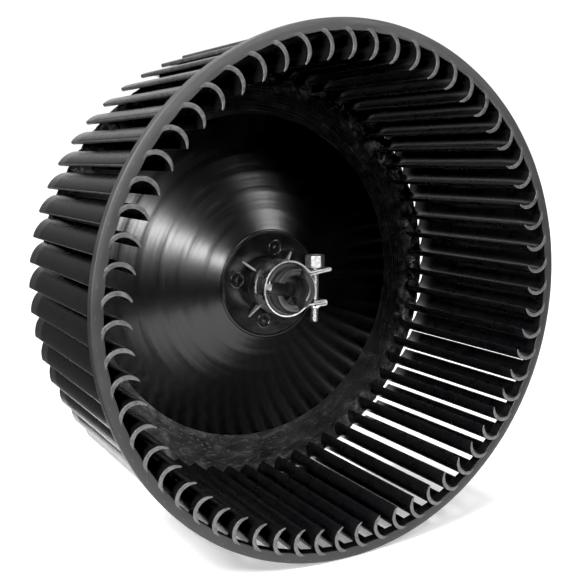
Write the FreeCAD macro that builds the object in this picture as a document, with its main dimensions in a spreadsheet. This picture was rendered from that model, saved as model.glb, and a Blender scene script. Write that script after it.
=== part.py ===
import FreeCAD, Part
import Sketcher
import math
import os

# Centrifugal blower wheel, forward-curved blades, clamp-on hub.
# Frame: origin on the spin axis at mid-width, +Y towards the motor side,
# -Y towards the open inlet, +Z up.  Millimetres.

V = FreeCAD.Vector
doc = FreeCAD.newDocument("BlowerWheel")

# ------------------------------------------------------------------ sizes
sheet = doc.addObject("Spreadsheet::Sheet", "Sizes")
SIZES = [
    ("wheel_width", 84.0),
    ("ring_outer_rad", 101.6),
    ("ring_inner_rad", 97.2),
    ("ring_depth", 4.8),
    ("ring_round_front", 1.1),
    ("ring_round_back", 1.5),
    ("blade_count", 62),
    ("blade_pitch_deg", 360.0 / 62.0),
    ("blade_phase_deg", 0.35),
    ("blade_thick", 1.6),
    ("blade_tip_rad", 87.8),
    ("plate_outer_rad", 96.2),
    ("plate_thick", 2.0),
    ("cone_foot_rad", 72.8),
    ("cone_top_rad", 23.9),
    ("cone_foot_level", 2.0),
    ("cone_top_level", 17.35),
    ("cone_wall", 2.1),
    ("flange_level", 17.9),
    ("flange_thick", 3.0),
    ("flange_round", 0.5),
    ("mark_circle_rad", 16.0),
    ("mark_rad", 3.0),
    ("mark_deep", 0.35),
    ("sleeve_rad", 10.9),
    ("sleeve_nose_rad", 10.2),
    ("sleeve_face_rad", 8.9),
    ("sleeve_step_level", 35.4),
    ("sleeve_lead_level", 38.0),
    ("sleeve_level", 40.6),
    ("sleeve_back_level", 6.5),
    ("bore_rad", 6.38),
    ("bore_lead", 0.4),
    ("slot_floor_level", 28.0),
    ("slot_wide", 5.4),
    ("slot_mid", 4.6),
    ("slot_narrow", 2.9),
    ("rib_reach_rad", 17.2),
    ("rib_thick", 0.9),
    ("rib_high_level", 21.2),
    ("rib_low_level", 18.2),
    ("rib_phase_deg", 52.0),
    ("band_wide", 9.6),
    ("band_thick", 0.7),
    ("band_front_level", 34.7),
    ("band_rad", 11.6),
    ("tab_wide", 2.8),
    ("tab_inner_rad", 8.6),
    ("window_high", 7.4),
    ("window_wide", 6.6),
    ("screw_rad", 1.75),
    ("screw_hole_rad", 2.15),
    ("nut_hole_rad", 1.82),
    ("head_flats", 7.4),
    ("head_high", 5.2),
    ("screw_len", 24.2),
    ("nut_wide", 8.0),
    ("nut_sheet", 0.6),
]
S = {}
for i, (name, val) in enumerate(SIZES):
    row = i + 1
    sheet.set("A%d" % row, name)
    sheet.set("B%d" % row, repr(float(val)) if not isinstance(val, int) else str(val))
    sheet.setAlias("B%d" % row, name)
    S[name] = float(val)
doc.recompute()

HALF = S["wheel_width"] / 2.0


def lev(h):
    """Axial level above the motor-side rim plane -> Y."""
    return HALF - h


def q(alias):
    return "<<Sizes>>.%s" % alias


# ------------------------------------------------------------ body helpers
def new_body(label):
    body = doc.addObject("PartDesign::Body", label)
    body.Label = label
    body.AllowCompound = True
    return body


def plane(body, role):
    for f in body.Origin.OriginFeatures:
        if f.Role == role:
            return f
    raise RuntimeError("no origin plane " + role)


def new_sketch(body, name, role, offset=0.0, rot=None):
    sk = body.newObject("Sketcher::SketchObject", name)
    sk.AttachmentSupport = [(plane(body, role), "")]
    sk.MapMode = "FlatFace"
    r = rot if rot is not None else FreeCAD.Rotation()
    sk.AttachmentOffset = FreeCAD.Placement(V(0, 0, offset), r)
    return sk


def poly(sk, pts, names=None):
    """Closed polygon; every corner is pinned by named distances to the sketch axes.
    names maps a corner index to (alias expression for x, alias expression for y)."""
    n = len(pts)
    ids = []
    for i in range(n):
        a, b = pts[i], pts[(i + 1) % n]
        ids.append(sk.addGeometry(Part.LineSegment(V(a[0], a[1], 0), V(b[0], b[1], 0)), False))
    for i in range(n):
        sk.addConstraint(Sketcher.Constraint("Coincident", ids[i], 2, ids[(i + 1) % n], 1))
    for i in range(n):
        x, y = pts[i]
        ex, ey = (names or {}).get(i, (None, None))
        for axis, val, ex_ in (("DistanceX", x, ex), ("DistanceY", y, ey)):
            c = sk.addConstraint(Sketcher.Constraint(axis, -1, 1, ids[i], 1, val))
            if ex_ is not None:
                nm = "p%d_%s" % (i, axis[-1].lower())
                sk.renameConstraint(c, nm)
                sk.setExpression("Constraints." + nm, ex_)
    return ids


def outline(sk, segs):
    """Closed outline of lines and arcs given as ('L', a, b) or ('A', a, mid, b)."""
    ids = []
    for s in segs:
        if s[0] == "L":
            ids.append(sk.addGeometry(Part.LineSegment(V(s[1][0], s[1][1], 0), V(s[2][0], s[2][1], 0)), False))
        else:
            arc = Part.Arc(V(s[1][0], s[1][1], 0), V(s[2][0], s[2][1], 0), V(s[3][0], s[3][1], 0))
            ids.append(sk.addGeometry(arc, False))
    for g in ids:
        sk.addConstraint(Sketcher.Constraint("Block", g))
    return ids


def revolve(body, sk, name="Revolution", cut=False):
    kind = "PartDesign::Groove" if cut else "PartDesign::Revolution"
    f = body.newObject(kind, name)
    f.Profile = sk
    f.ReferenceAxis = (sk, ["V_Axis"])
    f.Angle = 360.0
    sk.Visibility = False
    return f


def pad(body, sk, length, expr=None, name="Pad", rev=False, mid=False, cut=False):
    f = body.newObject("PartDesign::Pocket" if cut else "PartDesign::Pad", name)
    f.Profile = sk
    f.Length = length
    if expr:
        f.setExpression("Length", expr)
    f.Reversed = rev
    f.Midplane = mid
    sk.Visibility = False
    return f


def polar(body, feats, count, expr=None, name="PolarPattern"):
    p = body.newObject("PartDesign::PolarPattern", name)
    p.Originals = feats
    ax = [f for f in body.Origin.OriginFeatures if f.Role == "Y_Axis"][0]
    p.Axis = (ax, [""])
    p.Angle = 360.0
    p.Occurrences = int(count)
    if expr:
        p.setExpression("Occurrences", expr)
    body.Tip = p
    return p


def rot2(p, deg):
    a = math.radians(deg)
    return (p[0] * math.cos(a) - p[1] * math.sin(a), p[0] * math.sin(a) + p[1] * math.cos(a))


NODES = []


# ------------------------------------------------------------- inlet ring
ring = new_body("inlet_ring")
ring.Placement = FreeCAD.Placement(V(0, -HALF, 0), FreeCAD.Rotation())
sk = new_sketch(ring, "RingProfile", "XY_Plane")
ri, ro, dp = S["ring_inner_rad"], S["ring_outer_rad"], S["ring_depth"]
poly(sk, [(ri, 0), (ro, 0), (ro, dp), (ri, dp)], {
    0: (q("ring_inner_rad"), None), 1: (q("ring_outer_rad"), None),
    2: (q("ring_outer_rad"), q("ring_depth")), 3: (q("ring_inner_rad"), q("ring_depth"))})
rev = revolve(ring, sk)
doc.recompute()


def edge_at(shape, rad, y, tol=1e-3):
    out = []
    for i, e in enumerate(shape.Edges):
        c = e.Curve
        if isinstance(c, Part.Circle) and abs(c.Radius - rad) < tol and abs(c.Center.y - y) < tol:
            out.append("Edge%d" % (i + 1))
    return out


fl = ring.newObject("PartDesign::Fillet", "RoundFront")
fl.Base = (rev, edge_at(rev.Shape, ro, 0.0))
fl.Radius = S["ring_round_front"]
fl.setExpression("Radius", q("ring_round_front"))
doc.recompute()
fb = ring.newObject("PartDesign::Fillet", "RoundBack")
fb.Base = (fl, edge_at(fl.Shape, ro, dp))
fb.Radius = S["ring_round_back"]
fb.setExpression("Radius", q("ring_round_back"))
doc.recompute()
NODES.append(ring)

# ------------------------------------------------------------- fan blades
# Section in the tangential / radial frame of one blade's inner tip:
# inner arc bulging clockwise, then a flatter arc sweeping forward.
TH = S["blade_thick"]
A = (0.0, S["blade_tip_rad"])
B = (-2.63, 92.8)
C = (-0.29, 97.3)
D = (6.0, 99.3)


def circ3(a, b, c):
    ax, ay = a
    bx, by = b
    cx, cy = c
    d = 2 * (ax * (by - cy) + bx * (cy - ay) + cx * (ay - by))
    ux = ((ax * ax + ay * ay) * (by - cy) + (bx * bx + by * by) * (cy - ay) + (cx * cx + cy * cy) * (ay - by)) / d
    uy = ((ax * ax + ay * ay) * (cx - bx) + (bx * bx + by * by) * (ax - cx) + (cx * cx + cy * cy) * (bx - ax)) / d
    return (ux, uy), math.hypot(ax - ux, ay - uy)


c1, r1 = circ3(A, B, C)
# second arc: tangent to the first at C, through D
tx, ty = (c1[0] - C[0]) / r1, (c1[1] - C[1]) / r1
dx, dy = D[0] - C[0], D[1] - C[1]
r2 = (dx * dx + dy * dy) / (2 * (dx * tx + dy * ty))
c2 = (C[0] + r2 * tx, C[1] + r2 * ty)


def on(c, r, a):
    return (c[0] + r * math.cos(a), c[1] + r * math.sin(a))


def ang(c, p):
    return math.atan2(p[1] - c[1], p[0] - c[0])


aA, aC = ang(c1, A), ang(c1, C)
if aA < aC:
    aA += 2 * math.pi
aC2, aD = ang(c2, C), ang(c2, D)
h2 = TH / 2.0
tip_h = 0.35 * TH   # the inner tip is thinner than the rest
# convex side
o_tip = on(c1, r1 + tip_h, aA)
o_mid = on(c1, r1 + h2, 0.5 * (aA + aC) - 0.05)
o_C = on(c1, r1 + h2, aC)
o_m2 = on(c2, r2 + h2, 0.5 * (aC2 + aD))
o_D = on(c2, r2 + h2, aD)
# concave side
i_D = on(c2, r2 - h2, aD)
i_m2 = on(c2, r2 - h2, 0.5 * (aC2 + aD))
i_C = on(c1, r1 - h2, aC)
i_mid = on(c1, r1 - h2, 0.5 * (aA + aC) - 0.05)
i_tip = on(c1, r1 - tip_h, aA)
cap_in = on(c1, r1, aA + tip_h / r1)
cap_out = on(c2, r2, aD - 0.35 * h2 / r2)


def to_wheel(p):
    t, rho = p
    a = math.radians(S["blade_phase_deg"])
    return (rho * math.cos(a) - t * math.sin(a), rho * math.sin(a) + t * math.cos(a))


W = to_wheel
segs = [
    ("A", W(o_tip), W(o_mid), W(o_C)),
    ("A", W(o_C), W(o_m2), W(o_D)),
    ("A", W(o_D), W(cap_out), W(i_D)),
    ("A", W(i_D), W(i_m2), W(i_C)),
    ("A", W(i_C), W(i_mid), W(i_tip)),
    ("A", W(i_tip), W(cap_in), W(o_tip)),
]
blades = new_body("blade_master")
blades.Placement = FreeCAD.Placement(V(0, -HALF, 0), FreeCAD.Rotation())
sk = new_sketch(blades, "BladeSection", "XZ_Plane")
outline(sk, segs)
bp = pad(blades, sk, S["wheel_width"], q("wheel_width"), "BladePad", rev=True)
doc.recompute()
# room for the inlet ring, and for the back plate under the blade roots
sk = new_sketch(blades, "RingRoom", "XY_Plane")
poly(sk, [(ri, -1.0), (ro + 5, -1.0), (ro + 5, dp), (ri, dp)], {
    0: (q("ring_inner_rad"), None), 2: (None, q("ring_depth")), 3: (q("ring_inner_rad"), q("ring_depth"))})
g1 = revolve(blades, sk, "RingGroove", cut=True)
doc.recompute()
sk = new_sketch(blades, "PlateRoom", "XY_Plane")
pw, pt, pr = S["wheel_width"], S["plate_thick"], S["plate_outer_rad"]
poly(sk, [(80.0, pw - pt), (pr, pw - pt), (pr, pw + 1.0), (80.0, pw + 1.0)], {
    0: (None, q("wheel_width") + " - " + q("plate_thick")),
    1: (q("plate_outer_rad"), q("wheel_width") + " - " + q("plate_thick")),
    2: (q("plate_outer_rad"), None)})
g2 = revolve(blades, sk, "PlateGroove", cut=True)
doc.recompute()
one = blades.Shape.copy()
fan = doc.addObject("Part::Feature", "fan_blades")
fan.Label = "fan_blades"
blades.Label = "blade_master"
copies = []
for k in range(int(S["blade_count"])):
    b_ = one.Solids[0].copy()
    b_.rotate(V(0, 0, 0), V(0, -1, 0), k * S["blade_pitch_deg"])
    copies.append(b_)
fan.Shape = Part.Compound(copies)
fan.Placement = FreeCAD.Placement(V(0, 0, 0), FreeCAD.Rotation())
NODES.append(fan)

# ------------------------------------------------------------- back plate
plate = new_body("back_plate")
plate.Placement = FreeCAD.Placement(V(0, HALF, 0), FreeCAD.Rotation())
sk = new_sketch(plate, "PlateProfile", "XY_Plane")
cf = S["cone_foot_rad"]
poly(sk, [(cf, -pt), (pr, -pt), (pr, 0), (cf, 0)], {
    0: (q("cone_foot_rad"), "-" + q("plate_thick")), 1: (q("plate_outer_rad"), "-" + q("plate_thick")),
    2: (q("plate_outer_rad"), None), 3: (q("cone_foot_rad"), None)})
revolve(plate, sk)
doc.recompute()
NODES.append(plate)

# --------------------------------------------------------------- hub cone
cone = new_body("hub_cone")
cone.Placement = FreeCAD.Placement(V(0, HALF, 0), FreeCAD.Rotation())
sk = new_sketch(cone, "ConeProfile", "XY_Plane")
ct, cl, cfl, cw = S["cone_top_rad"], S["cone_top_level"], S["cone_foot_level"], S["cone_wall"]
poly(sk, [(cf, 0), (cf, -cfl), (ct, -cl), (ct, -(cl - cw))], {
    0: (q("cone_foot_rad"), None), 1: (q("cone_foot_rad"), "-" + q("cone_foot_level")),
    2: (q("cone_top_rad"), "-" + q("cone_top_level")),
    3: (q("cone_top_rad"), "-(" + q("cone_top_level") + " - " + q("cone_wall") + ")")})
revolve(cone, sk)
doc.recompute()
NODES.append(cone)

# ------------------------------------------------------------- hub flange
flange = new_body("hub_flange")
flange.Placement = FreeCAD.Placement(V(0, HALF, 0), FreeCAD.Rotation())
sk = new_sketch(flange, "FlangeProfile", "XY_Plane")
sr, fz, ft = S["sleeve_rad"], S["flange_level"], S["flange_thick"]
poly(sk, [(sr, -fz), (ct, -fz), (ct, -(fz - ft)), (sr, -(fz - ft))], {
    0: (q("sleeve_rad"), "-" + q("flange_level")), 1: (q("cone_top_rad"), "-" + q("flange_level")),
    2: (q("cone_top_rad"), "-(" + q("flange_level") + " - " + q("flange_thick") + ")"),
    3: (q("sleeve_rad"), "-(" + q("flange_level") + " - " + q("flange_thick") + ")")})
rv = revolve(flange, sk)
doc.recompute()
f1 = flange.newObject("PartDesign::Fillet", "FlangeRound")
f1.Base = (rv, edge_at(rv.Shape, ct, -fz))
f1.Radius = S["flange_round"]
f1.setExpression("Radius", q("flange_round"))
doc.recompute()
# round moulding marks, shallow recesses between the ribs
mk = new_sketch(flange, "MarkSketch", "XZ_Plane", offset=fz)
ma = math.radians(80.0)
mid_ = mk.addGeometry(Part.Circle(V(S["mark_circle_rad"] * math.cos(ma), S["mark_circle_rad"] * math.sin(ma), 0), V(0, 0, 1), S["mark_rad"]), False)
c = mk.addConstraint(Sketcher.Constraint("Radius", mid_, S["mark_rad"]))
mk.renameConstraint(c, "mark_r")
mk.setExpression("Constraints.mark_r", q("mark_rad"))
mp = pad(flange, mk, S["mark_deep"], q("mark_deep"), "MarkPocket", cut=True)
doc.recompute()
polar(flange, [mp], 4, None, "MarkPattern")
doc.recompute()
NODES.append(flange)

# ------------------------------------------------------------- hub sleeve
sleeve = new_body("hub_sleeve")
sleeve.Placement = FreeCAD.Placement(V(0, HALF, 0), FreeCAD.Rotation())
sk = new_sketch(sleeve, "SleeveProfile", "XY_Plane")
br, bl, sl = S["bore_rad"], S["bore_lead"], S["sleeve_level"]
sb = S["sleeve_back_level"]
poly(sk, [(br, -sb), (sr, -sb), (sr, -S["sleeve_step_level"]), (S["sleeve_nose_rad"], -S["sleeve_step_level"]),
          (S["sleeve_nose_rad"], -S["sleeve_lead_level"]), (S["sleeve_face_rad"], -sl), (br + bl, -sl), (br, -(sl - bl))], {
    0: (q("bore_rad"), "-" + q("sleeve_back_level")), 1: (q("sleeve_rad"), "-" + q("sleeve_back_level")),
    2: (q("sleeve_rad"), "-" + q("sleeve_step_level")),
    3: (q("sleeve_nose_rad"), "-" + q("sleeve_step_level")),
    4: (q("sleeve_nose_rad"), "-" + q("sleeve_lead_level")),
    5: (q("sleeve_face_rad"), "-" + q("sleeve_level")),
    6: (q("bore_rad") + " + " + q("bore_lead"), "-" + q("sleeve_level")),
    7: (q("bore_rad"), "-(" + q("sleeve_level") + " - " + q("bore_lead") + ")")})
revolve(sleeve, sk)
doc.recompute()
base_v = sleeve.Shape.Volume
sk = new_sketch(sleeve, "SlotSketch", "XZ_Plane", offset=sl + 1.0)
for deg, w in ((171.6, S["slot_wide"]), (65.0, S["slot_narrow"]), (-64.0, S["slot_mid"])):
    cs = [rot2(p, deg) for p in ((3.0, -w / 2), (14.0, -w / 2), (14.0, w / 2), (3.0, w / 2))]
    outline(sk, [("L", cs[k], cs[(k + 1) % 4]) for k in range(4)])
sp = pad(sleeve, sk, sl + 1.0 - S["slot_floor_level"], q("sleeve_level") + " + 1 - " + q("slot_floor_level"), "SlotPocket", cut=True)
doc.recompute()
if not sleeve.Shape.Volume < base_v - 300.0:
    raise RuntimeError("sleeve slots cut nothing")
NODES.append(sleeve)

# --------------------------------------------------------------- hub ribs
ribs = new_body("hub_ribs")
ribs.Placement = FreeCAD.Placement(V(0, HALF, 0), FreeCAD.Rotation())
sk = new_sketch(ribs, "RibProfile", "XY_Plane", rot=FreeCAD.Rotation())
rr = S["rib_reach_rad"]
poly(sk, [(sr, -fz), (rr, -fz), (rr, -S["rib_low_level"]), (sr, -S["rib_high_level"])], {
    0: (q("sleeve_rad"), "-" + q("flange_level")), 1: (q("rib_reach_rad"), "-" + q("flange_level")),
    2: (q("rib_reach_rad"), "-" + q("rib_low_level")), 3: (q("sleeve_rad"), "-" + q("rib_high_level"))})
rp = pad(ribs, sk, S["rib_thick"], q("rib_thick"), "RibPad", mid=True)
doc.recompute()
polar(ribs, [rp], 4, None, "RibPattern")
doc.recompute()
# the ribs stand diagonally: the whole body is turned about the spin axis
ribs.Placement = FreeCAD.Placement(V(0, HALF, 0), FreeCAD.Rotation(V(0, -1, 0), S["rib_phase_deg"]))
doc.recompute()
NODES.append(ribs)


# -------------------------------------------------------------- clamp band
# One strip of steel: a lower ear, the loop round the sleeve, an upper ear
# folded double, and a tongue that bridges the gap between the ears.
def strip_outline(path, thick):
    """path: list of ('L', p, q) / ('A', centre, radius, a0, a1) tangent-joined
    centreline pieces; returns the closed outline of the strip."""
    h_ = thick / 2.0
    left, right = [], []
    for s in path:
        if s[0] == "L":
            (x0, y0), (x1, y1) = s[1], s[2]
            ln = math.hypot(x1 - x0, y1 - y0)
            nx, ny = -(y1 - y0) / ln * h_, (x1 - x0) / ln * h_
            left.append(("L", (x0 + nx, y0 + ny), (x1 + nx, y1 + ny)))
            right.append(("L", (x0 - nx, y0 - ny), (x1 - nx, y1 - ny)))
        else:
            _, cc, rad, a0, a1 = s
            sgn = 1.0 if a1 > a0 else -1.0
            for side, rr_ in ((left, rad - sgn * h_), (right, rad + sgn * h_)):
                side.append(("A", on(cc, rr_, a0), on(cc, rr_, 0.5 * (a0 + a1)), on(cc, rr_, a1)))
    segs_ = list(left)
    segs_.append(("L", left[-1][-1], right[-1][-1]))
    for s in reversed(right):
        if s[0] == "L":
            segs_.append(("L", s[2], s[1]))
        else:
            segs_.append(("A", s[3], s[2], s[1]))
    segs_.append(("L", right[0][1], left[0][1]))
    return segs_


def heading_path(start, head_deg, moves):
    """Tangent-continuous path: moves are ('go', length) or ('turn', radius, degrees, + is left)."""
    x, y = start
    hd = math.radians(head_deg)
    out = []
    for m in moves:
        if m[0] == "go":
            nx_, ny_ = x + m[1] * math.cos(hd), y + m[1] * math.sin(hd)
            out.append(("L", (x, y), (nx_, ny_)))
            x, y = nx_, ny_
        else:
            rad, dg = m[1], math.radians(m[2])
            sgn = 1.0 if dg > 0 else -1.0
            cx_, cy_ = x - sgn * rad * math.sin(hd), y + sgn * rad * math.cos(hd)
            a0 = math.atan2(y - cy_, x - cx_)
            a1 = a0 + dg
            out.append(("A", (cx_, cy_), rad, a0, a1))
            x, y = cx_ + rad * math.cos(a1), cy_ + rad * math.sin(a1)
            hd += dg
    return out, (x, y), math.degrees(hd)


BR = S["band_rad"]
BT = S["band_thick"]
EAR_UP = 6.5       # upper ear's slope
# loop: from the lower departure angle round to the upper one, anticlockwise is + ;
# the path is walked clockwise from the lower ear tip
low_dep, up_dep = -56.0, 50.0
# (a) from the loop outwards to the lower ear
p0 = on((0, 0), BR, math.radians(low_dep))
head0 = low_dep + 90.0
low_moves = [("go", 3.4), ("turn", 1.2, -(head0 - 3.0)), ("go", 8.7)]
low_path, low_end, _h = heading_path(p0, head0, low_moves)
# (b) from the loop outwards to the upper ear, fold, back, and down the tongue
p1 = on((0, 0), BR, math.radians(up_dep))
head1 = up_dep - 90.0
fold_r = 0.5 * (BT + 0.10)
up_moves = [
    ("go", 3.4),
    ("turn", 1.0, EAR_UP - head1),
    ("go", 9.5),
    ("turn", fold_r, -(180.0 - 1.5)),
    ("go", 9.35),
    ("turn", 0.6, 117.0),
    ("go", 1.4),
]
up_path, up_end, up_head = heading_path(p1, head1, up_moves)
# tongue: an arc that follows the sleeve and ends short of the lower ear
tongue_to = -5.05
tongue_r = 9.0
tmoves = []
best = None
for k in range(400):
    dgr = -(5.0 + 0.15 * k)
    _p, e_, h__ = heading_path(up_end, up_head, [("turn", tongue_r, dgr)])
    if e_[1] < tongue_to:
        best = dgr
        break
tongue, t_end, _h = heading_path(up_end, up_head, [("turn", tongue_r, best)])


def rev_path(path):
    out = []
    for s in reversed(path):
        if s[0] == "L":
            out.append(("L", s[2], s[1]))
        else:
            out.append(("A", s[1], s[2], s[4], s[3]))
    return out


loop = [("A", (0.0, 0.0), BR, math.radians(low_dep + 360.0), math.radians(up_dep))]
path = rev_path(low_path) + loop + up_path + tongue
BAND_Y = lev(S["band_front_level"])
band = new_body("clamp_band")
band.Placement = FreeCAD.Placement(V(0, BAND_Y, 0), FreeCAD.Rotation())
sk = new_sketch(band, "BandOutline", "XZ_Plane")
outline(sk, strip_outline(path, BT))
bpad = pad(band, sk, S["band_wide"], q("band_wide"), "BandPad", rev=True)
doc.recompute()
v0 = band.Shape.Volume
# tab folded in from the front edge; it keys into the wide slot
TAB = 171.6
sk = new_sketch(band, "TabSketch", "XZ_Plane")
tw = S["tab_wide"] / 2.0
cs = [rot2(p, TAB) for p in ((S["tab_inner_rad"], -tw), (BR, -tw), (BR, tw), (S["tab_inner_rad"], tw))]
outline(sk, [("L", cs[k], cs[(k + 1) % 4]) for k in range(4)])
pad(band, sk, BT, q("band_thick"), "TabPad", rev=True)
doc.recompute()
v1 = band.Shape.Volume
# window behind the tab
sk = new_sketch(band, "WindowSketch", "XZ_Plane", offset=-1.7)
wh = S["window_high"] / 2.0
cs = [rot2(p, TAB) for p in ((8.0, -wh), (14.0, -wh), (14.0, wh), (8.0, wh))]
outline(sk, [("L", cs[k], cs[(k + 1) % 4]) for k in range(4)])
pad(band, sk, S["window_wide"], q("window_wide"), "WindowPocket", cut=True)
doc.recompute()
v2 = band.Shape.Volume
# screw hole through both ears, on the screw axis
SX, SY = 15.5, BAND_Y + S["band_wide"] / 2.0
for nm, z0, run in (("LowerEarHole", -12.0, 6.2), ("UpperEarHole", 4.6, 6.0)):
    sk = new_sketch(band, nm + "Sketch", "XY_Plane", offset=z0)
    hid = sk.addGeometry(Part.Circle(V(SX, S["band_wide"] / 2.0, 0), V(0, 0, 1), S["screw_hole_rad"]), False)
    c = sk.addConstraint(Sketcher.Constraint("Radius", hid, S["screw_hole_rad"]))
    sk.renameConstraint(c, "hole_r")
    sk.setExpression("Constraints.hole_r", q("screw_hole_rad"))
    pad(band, sk, run, None, nm, cut=True, rev=True)
    doc.recompute()
v3 = band.Shape.Volume
print("band volumes", v0, v1, v2, v3)
if not (v1 > v0 + 1.0 and v2 < v1 - 15.0 and v3 < v2 - 20.0):
    raise RuntimeError("a clamp band feature did nothing")
NODES.append(band)
print("ears: low tip", low_end, "V", up_path[1], "tongue end", t_end)

# ---------------------------------------------------------------- clip nut
# U-shaped sheet nut pushed over the lower ear's end; the lower leg carries
# the thread in a short drawn collar.
NW, NS = S["nut_wide"], S["nut_sheet"]
ear_tip = low_end
ear_dir = 3.0
gap = BT / 2.0 + 0.08 + NS / 2.0
# local frame: u along the ear towards its tip, w across it
def ear_pt(u, w):
    p = rot2((u, w), ear_dir)
    return (ear_tip[0] + p[0], ear_tip[1] + p[1])


nut_start = ear_pt(-5.6, gap)
loop_r = 0.5 * (gap + 0.5 + gap)
nut_moves = [
    ("go", 5.6 - 0.2),
    ("turn", loop_r, -180.0),
    ("go", 4.6),
]
n_path, n_end, _h = heading_path(nut_start, ear_dir, nut_moves)
nut = new_body("clip_nut")
nut.Placement = FreeCAD.Placement(V(0, SY - NW / 2.0, 0), FreeCAD.Rotation())
sk = new_sketch(nut, "NutOutline", "XZ_Plane")
outline(sk, strip_outline(n_path, NS))
pad(nut, sk, NW, q("nut_wide"), "NutPad", rev=True)
doc.recompute()
n0 = nut.Shape.Volume
# drawn collar under the lower leg
collar_z = n_path[2][1][1] - NS / 2.0
sk = new_sketch(nut, "CollarSketch", "XY_Plane", offset=collar_z + 0.35)
cid = sk.addGeometry(Part.Circle(V(SX, NW / 2.0, 0), V(0, 0, 1), 2.55), False)
sk.addConstraint(Sketcher.Constraint("Radius", cid, 2.55))
pad(nut, sk, 1.5, None, "CollarPad", rev=True)
doc.recompute()
n1 = nut.Shape.Volume
sk = new_sketch(nut, "NutHole", "XY_Plane", offset=-14.0)
hid = sk.addGeometry(Part.Circle(V(SX, NW / 2.0, 0), V(0, 0, 1), S["nut_hole_rad"]), False)
c = sk.addConstraint(Sketcher.Constraint("Radius", hid, S["nut_hole_rad"]))
sk.renameConstraint(c, "nut_r")
sk.setExpression("Constraints.nut_r", q("nut_hole_rad"))
pad(nut, sk, 14.0, None, "NutThread", cut=True, rev=True)
doc.recompute()
n2 = nut.Shape.Volume
print("nut volumes", n0, n1, n2)
NODES.append(nut)

# ------------------------------------------------------------- clamp screw
# hex head on top of the upper ear, shank down through both ears
def line_y(path_piece, x):
    (x0, y0), (x1, y1) = path_piece[1], path_piece[2]
    return y0 + (y1 - y0) * (x - x0) / (x1 - x0)


ear_top = line_y(up_path[2], SX) + BT / 2.0 / math.cos(math.radians(EAR_UP))
head_base = ear_top + math.tan(math.radians(EAR_UP)) * (S["head_flats"] / 2.0) + 0.12
screw = new_body("clamp_screw")
screw.Placement = FreeCAD.Placement(V(SX, SY, head_base), FreeCAD.Rotation())
sk = new_sketch(screw, "HeadSketch", "XY_Plane")
hexr = S["head_flats"] / math.sqrt(3.0)
hex_phase = -24.0
pts = [(hexr * math.cos(math.radians(hex_phase + 60 * k)), hexr * math.sin(math.radians(hex_phase + 60 * k))) for k in range(6)]
outline(sk, [("L", pts[k], pts[(k + 1) % 6]) for k in range(6)])
hp = pad(screw, sk, S["head_high"], q("head_high"), "HeadPad")
doc.recompute()
# shank
sk = new_sketch(screw, "ShankSketch", "XY_Plane")
sid = sk.addGeometry(Part.Circle(V(0, 0, 0), V(0, 0, 1), S["screw_rad"]), False)
c = sk.addConstraint(Sketcher.Constraint("Radius", sid, S["screw_rad"]))
sk.renameConstraint(c, "shank_r")
sk.setExpression("Constraints.shank_r", q("screw_rad"))
pad(screw, sk, S["screw_len"], q("screw_len"), "ShankPad", rev=True)
doc.recompute()
# top corners of the head turned off at 30 degrees
sk = new_sketch(screw, "HeadTurn", "XZ_Plane")
hh = S["head_high"]
poly(sk, [(S["head_flats"] / 2.0 - 0.15, hh), (hexr + 1.0, hh - (hexr + 1.15 - S["head_flats"] / 2.0) * math.tan(math.radians(30))),
          (hexr + 1.0, hh + 1.0), (S["head_flats"] / 2.0 - 0.15, hh + 1.0)])
revolve(screw, sk, "HeadChamfer", cut=True)
doc.recompute()
# driver slot
NODES.append(screw)
print("screw head base", head_base, "ear top", ear_top, "tip z", head_base - S["screw_len"])
print("screw axis x,y", SX, SY)

# --------------------------------------------------------- checks, export
doc.recompute()
bad = []
for o in doc.Objects:
    st = [str(s) for s in o.State]
    if "Invalid" in st or "Error" in st:
        bad.append((o.Name, st))
if bad:
    raise RuntimeError("failed objects: %r" % bad)
os.makedirs("parts", exist_ok=True)
for b in NODES:
    sh = b.Shape
    if sh.isNull() or not sh.isValid() or not sh.Solids:
        raise RuntimeError("bad shape " + b.Label)
    bb = sh.BoundBox
    print("%-12s solids %3d vol %9.1f  x %.2f..%.2f y %.2f..%.2f z %.2f..%.2f" % (
        b.Label, len(sh.Solids), sh.Volume, bb.XMin, bb.XMax, bb.YMin, bb.YMax, bb.ZMin, bb.ZMax))
    sh.exportStep("parts/%s.step" % b.Label)
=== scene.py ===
import bpy, bmesh, math
from mathutils import Vector, Matrix, noise


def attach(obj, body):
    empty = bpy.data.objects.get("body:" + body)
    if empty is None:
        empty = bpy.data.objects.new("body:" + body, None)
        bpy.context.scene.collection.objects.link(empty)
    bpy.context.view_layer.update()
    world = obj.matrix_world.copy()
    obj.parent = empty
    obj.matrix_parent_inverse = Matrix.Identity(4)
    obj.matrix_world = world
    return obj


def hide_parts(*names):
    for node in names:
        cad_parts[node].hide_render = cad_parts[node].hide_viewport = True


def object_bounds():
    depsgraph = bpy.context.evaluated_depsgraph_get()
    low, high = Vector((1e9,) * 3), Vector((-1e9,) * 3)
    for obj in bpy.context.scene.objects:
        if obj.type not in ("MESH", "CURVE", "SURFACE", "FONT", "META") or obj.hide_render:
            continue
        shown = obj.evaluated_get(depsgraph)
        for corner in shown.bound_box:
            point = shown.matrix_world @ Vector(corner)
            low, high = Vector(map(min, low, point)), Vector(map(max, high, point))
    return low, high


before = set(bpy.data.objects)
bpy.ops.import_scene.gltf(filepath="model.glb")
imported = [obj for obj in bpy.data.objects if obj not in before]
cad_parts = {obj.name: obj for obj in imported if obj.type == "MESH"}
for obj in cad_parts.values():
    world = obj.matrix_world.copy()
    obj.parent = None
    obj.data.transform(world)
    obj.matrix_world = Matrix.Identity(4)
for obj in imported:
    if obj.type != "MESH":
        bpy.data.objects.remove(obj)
lo0, hi0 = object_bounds()

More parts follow.
